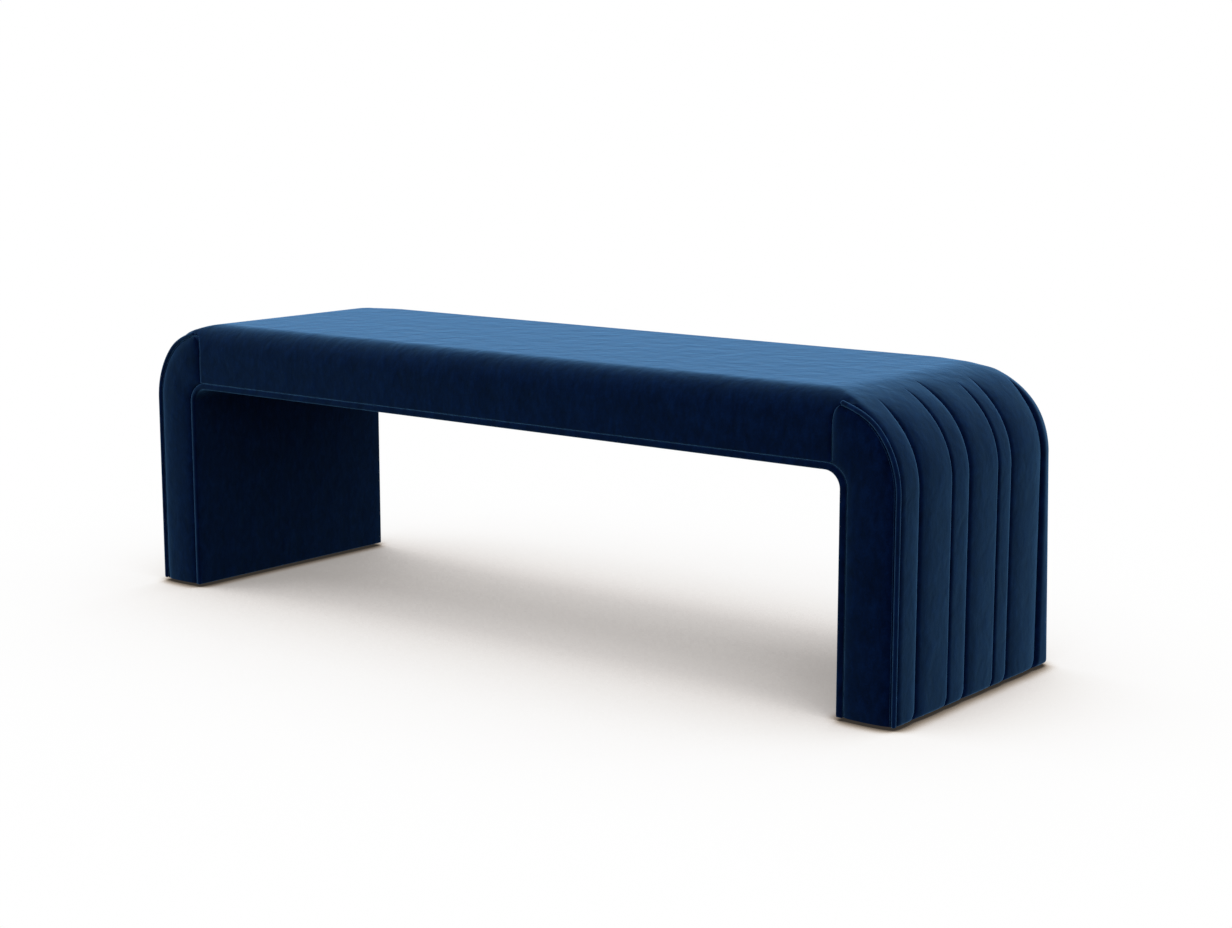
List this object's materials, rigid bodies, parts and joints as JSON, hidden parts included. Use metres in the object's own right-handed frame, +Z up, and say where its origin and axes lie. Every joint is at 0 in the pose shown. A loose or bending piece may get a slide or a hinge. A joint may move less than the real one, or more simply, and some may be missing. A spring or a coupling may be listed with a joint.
{
  "type": "upholstered bench",
  "caption": "Waterfall bench upholstered in navy velvet, with a padded seat that turns down over round shoulders into channelled leg panels at both ends.",
  "frame": {"origin": "on the floor under the middle of the bench", "axes": "+X along the bench, +Z up; -Y is the front, the long side that faces the camera in the picture"},
  "size_m": [1.5, 0.45, 0.46],
  "materials": {
    "velvet": "matte",
    "wadding": "matte",
    "foam": "matte",
    "dust_cloth": "matte",
    "plywood": "matte",
    "beech": "matte",
    "nylon": "satin",
    "steel": "satin"
  },
  "bodies": {
    "root": {"front_seat_rail": "beech", "back_seat_rail": "beech", "seat_slat_left": "beech", "seat_slat_middle": "beech", "seat_slat_right": "beech", "seat_deck": "plywood", "seat_liner_board": "plywood", "rib_left_front": "plywood", "rib_left_back": "plywood", "rib_right_front": "plywood", "rib_right_back": "plywood", "deck_rail_left": "beech", "deck_rail_right": "beech", "shoulder_rail_left": "beech", "shoulder_rail_right": "beech", "middle_rail_left": "beech", "middle_rail_right": "beech", "foot_rail_left": "beech", "foot_rail_right": "beech", "end_skin_left": "plywood", "end_skin_right": "plywood", "leg_liner_board_left": "plywood", "leg_liner_board_right": "plywood", "corner_cove_left": "plywood", "corner_cove_right": "plywood", "corner_blocks": "beech", "rail_screws": "steel", "slat_screws": "steel", "lap_screws": "steel", "deck_screws": "steel", "liner_screws": "steel", "glides": "nylon", "glide_nails": "steel", "dust_cover_left": "dust_cloth", "dust_cover_right": "dust_cloth", "seat_foam": "foam", "seat_wadding": "wadding", "seat_cover": "velvet", "shoulder_foam_left": "foam", "shoulder_foam_right": "foam", "end_foam_left": "foam", "end_foam_right": "foam", "end_panel_left": "velvet", "end_panel_right": "velvet", "facing_foam_left_front": "foam", "facing_foam_left_back": "foam", "facing_foam_right_front": "foam", "facing_foam_right_back": "foam", "facing_cover_left_front": "velvet", "facing_cover_left_back": "velvet", "facing_cover_right_front": "velvet", "facing_cover_right_back": "velvet", "piping_left_front": "velvet", "piping_left_back": "velvet", "piping_right_front": "velvet", "piping_right_back": "velvet", "liner_cover": "velvet"}
  },
  "joints": []
}
